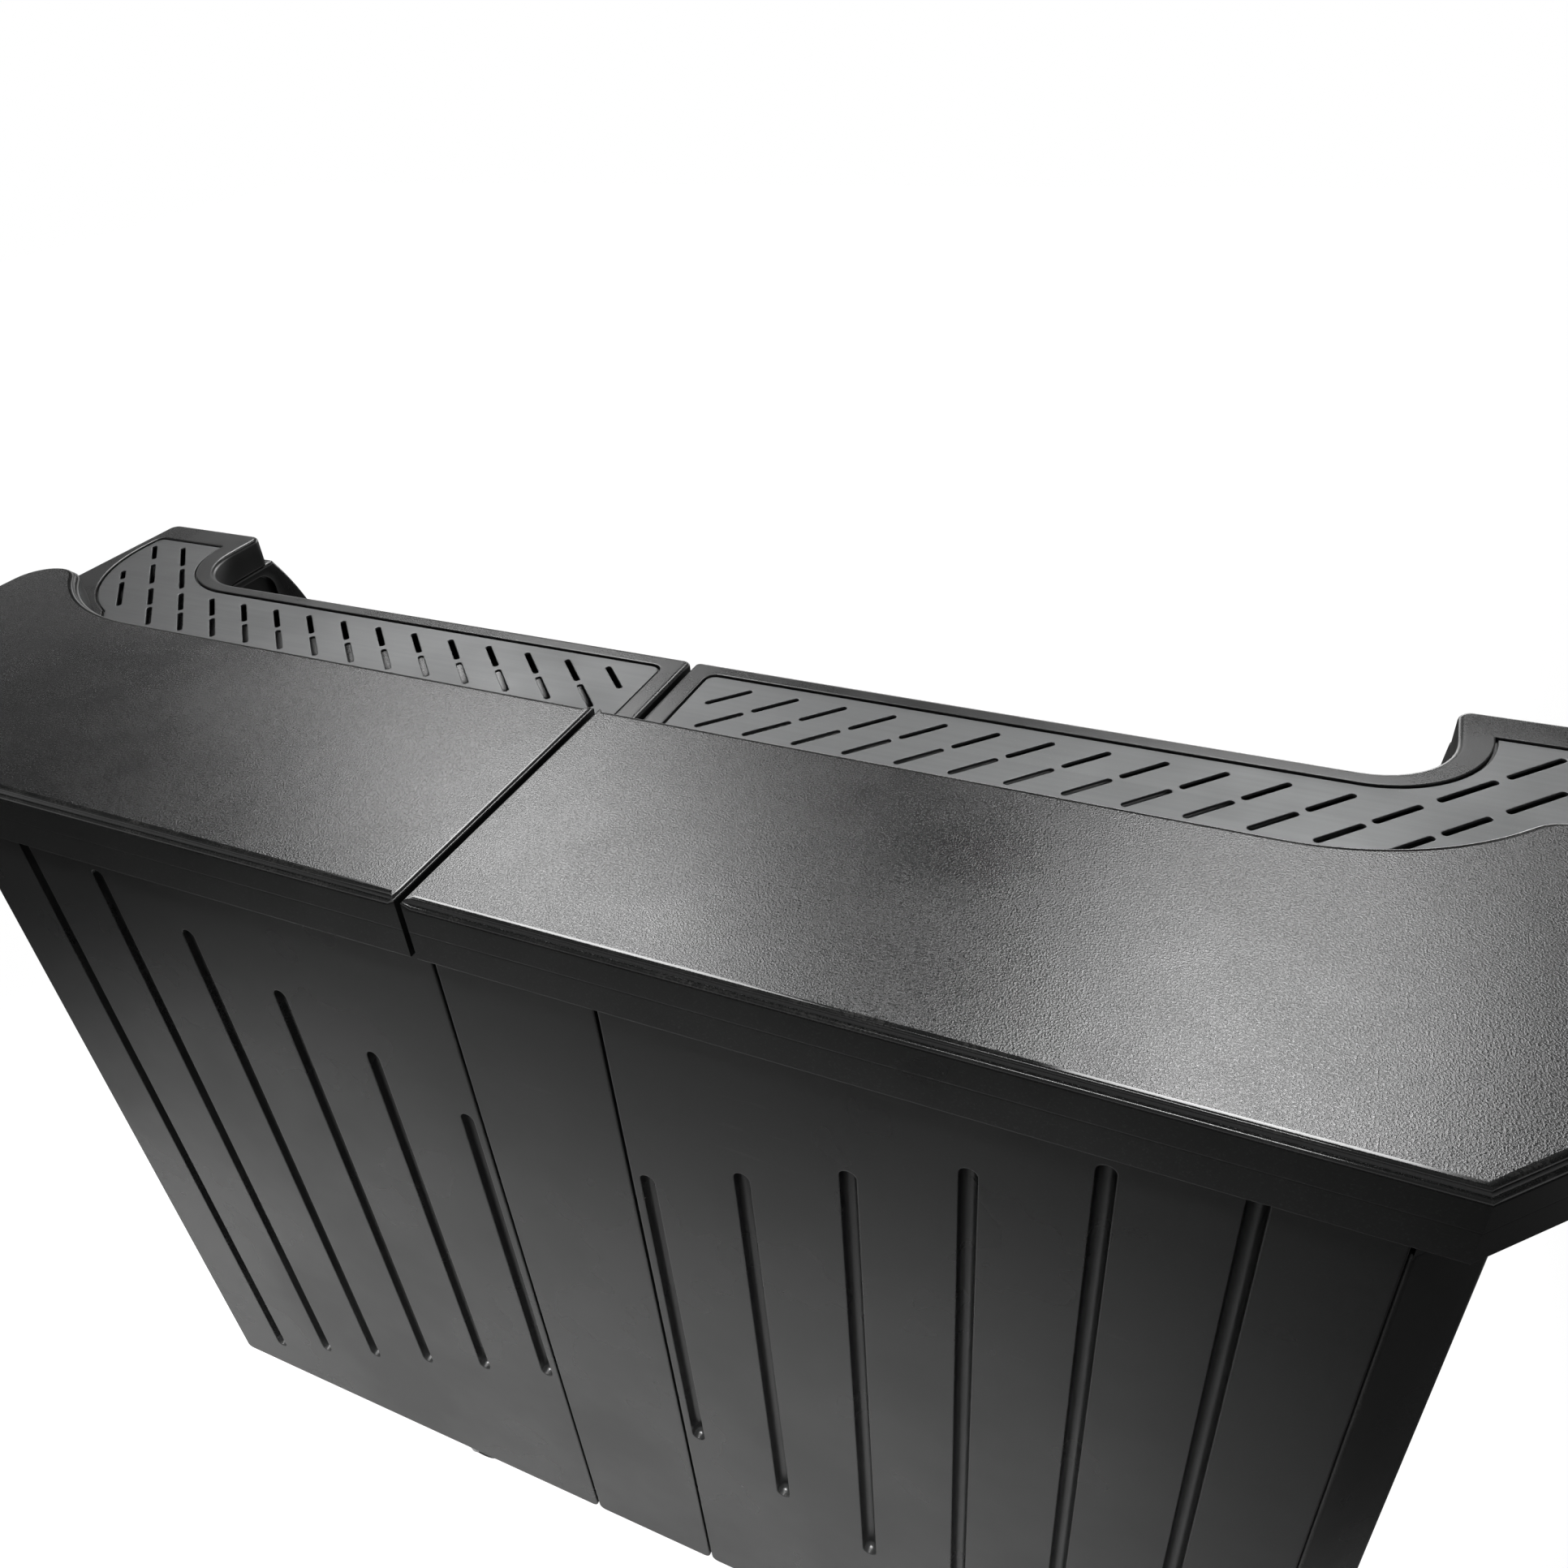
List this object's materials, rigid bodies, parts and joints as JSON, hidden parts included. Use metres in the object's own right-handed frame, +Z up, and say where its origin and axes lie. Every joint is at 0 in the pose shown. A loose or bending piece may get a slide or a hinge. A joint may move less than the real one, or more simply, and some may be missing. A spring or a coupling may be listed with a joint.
{
  "type": "mobile bar counter",
  "caption": "Folding bar counter in black moulded plastic with a raised guest top, lower work decks with slotted drip plates, a grooved front, shelves and braked casters.",
  "frame": {"origin": "on the floor, under the middle of the whole counter", "axes": "+X along the counter to the right as guests see it, +Y from the guests to the bartender, +Z up"},
  "size_m": [1.91, 0.738, 1.14],
  "materials": {
    "grained_plastic": "fine leathery moulded grain with a satin sheen",
    "satin_plastic": "smooth satin moulded plastic",
    "shelf_plastic": "plain satin moulded plastic",
    "drip_metal": "dull grey brushed sheet",
    "hinge_steel": "black coated steel",
    "caster_steel": "zinc plated pressed steel",
    "wheel_rubber": "dark grey tread on a plastic centre",
    "pedal_plastic": "black moulded pedal"
  },
  "bodies": {
    "right_half": {"right_counter_top": "grained_plastic", "right_deck": "grained_plastic", "centre_strip": "satin_plastic", "right_front_panel": "satin_plastic", "right_side_wall": "satin_plastic", "right_base_shelf": "shelf_plastic", "right_middle_shelf": "shelf_plastic", "right_inner_post": "shelf_plastic", "right_lower_hinge_leaf": "hinge_steel", "right_upper_hinge_leaf": "hinge_steel", "lower_hinge_pin": "hinge_steel", "upper_hinge_pin": "hinge_steel", "front_right_caster_plate": "caster_steel", "rear_right_caster_plate": "caster_steel"},
    "left_half": {"left_counter_top": "grained_plastic", "left_deck": "grained_plastic", "left_front_panel": "satin_plastic", "left_side_wall": "satin_plastic", "left_base_shelf": "shelf_plastic", "left_middle_shelf": "shelf_plastic", "left_inner_post": "shelf_plastic", "left_lower_hinge_leaf": "hinge_steel", "left_upper_hinge_leaf": "hinge_steel", "front_left_caster_plate": "caster_steel", "rear_left_caster_plate": "caster_steel"},
    "right_plate": {"right_drip_plate": "drip_metal"},
    "left_plate": {"left_drip_plate": "drip_metal"},
    "front_left_swivel": {"front_left_caster_fork": "caster_steel", "front_left_caster_axle": "caster_steel"},
    "front_left_wheel": {"front_left_caster_wheel": "wheel_rubber"},
    "front_left_pedal": {"front_left_caster_pedal": "pedal_plastic"},
    "front_right_swivel": {"front_right_caster_fork": "caster_steel", "front_right_caster_axle": "caster_steel"},
    "front_right_wheel": {"front_right_caster_wheel": "wheel_rubber"},
    "front_right_pedal": {"front_right_caster_pedal": "pedal_plastic"},
    "rear_left_swivel": {"rear_left_caster_fork": "caster_steel", "rear_left_caster_axle": "caster_steel"},
    "rear_left_wheel": {"rear_left_caster_wheel": "wheel_rubber"},
    "rear_left_pedal": {"rear_left_caster_pedal": "pedal_plastic"},
    "rear_right_swivel": {"rear_right_caster_fork": "caster_steel", "rear_right_caster_axle": "caster_steel"},
    "rear_right_wheel": {"rear_right_caster_wheel": "wheel_rubber"},
    "rear_right_pedal": {"rear_right_caster_pedal": "pedal_plastic"}
  },
  "joints": [
    {"name": "fold", "type": "hinge", "parent": "right_half", "child": "left_half", "pos_m": [0, 0.155, 0.6], "axis": [0, 0, -1], "range_deg": [0, 140]},
    {"name": "right_plate_lift", "type": "slide", "parent": "right_half", "child": "right_plate", "axis": [0, 0, 1], "range_m": [0, 0.15]},
    {"name": "left_plate_lift", "type": "slide", "parent": "left_half", "child": "left_plate", "axis": [0, 0, 1], "range_m": [0, 0.15]},
    {"name": "front_left_swivel", "type": "hinge", "parent": "left_half", "child": "front_left_swivel", "pos_m": [-0.256, -0.308, 0.09], "axis": [0, 0, 1], "continuous": true},
    {"name": "front_left_roll", "type": "hinge", "parent": "front_left_swivel", "child": "front_left_wheel", "pos_m": [-0.228, -0.308, 0.0375], "axis": [0, 1, 0], "continuous": true},
    {"name": "front_left_brake", "type": "hinge", "parent": "front_left_swivel", "child": "front_left_pedal", "pos_m": [-0.22, -0.308, 0.0831], "axis": [0, 1, 0], "range_deg": [0, 12]},
    {"name": "front_right_swivel", "type": "hinge", "parent": "right_half", "child": "front_right_swivel", "pos_m": [0.39, -0.308, 0.09], "axis": [0, 0, 1], "continuous": true},
    {"name": "front_right_roll", "type": "hinge", "parent": "front_right_swivel", "child": "front_right_wheel", "pos_m": [0.418, -0.308, 0.0375], "axis": [0, 1, 0], "continuous": true},
    {"name": "front_right_brake", "type": "hinge", "parent": "front_right_swivel", "child": "front_right_pedal", "pos_m": [0.426, -0.308, 0.0831], "axis": [0, 1, 0], "range_deg": [0, 12]},
    {"name": "rear_left_swivel", "type": "hinge", "parent": "left_half", "child": "rear_left_swivel", "pos_m": [-0.728, 0.089, 0.09], "axis": [0, 0, 1], "continuous": true},
    {"name": "rear_left_roll", "type": "hinge", "parent": "rear_left_swivel", "child": "rear_left_wheel", "pos_m": [-0.7, 0.089, 0.0375], "axis": [0, 1, 0], "continuous": true},
    {"name": "rear_left_brake", "type": "hinge", "parent": "rear_left_swivel", "child": "rear_left_pedal", "pos_m": [-0.692, 0.089, 0.0831], "axis": [0, 1, 0], "range_deg": [0, 12]},
    {"name": "rear_right_swivel", "type": "hinge", "parent": "right_half", "child": "rear_right_swivel", "pos_m": [0.728, 0.089, 0.09], "axis": [0, 0, 1], "continuous": true},
    {"name": "rear_right_roll", "type": "hinge", "parent": "rear_right_swivel", "child": "rear_right_wheel", "pos_m": [0.756, 0.089, 0.0375], "axis": [0, 1, 0], "continuous": true},
    {"name": "rear_right_brake", "type": "hinge", "parent": "rear_right_swivel", "child": "rear_right_pedal", "pos_m": [0.764, 0.089, 0.0831], "axis": [0, 1, 0], "range_deg": [0, 12]}
  ]
}
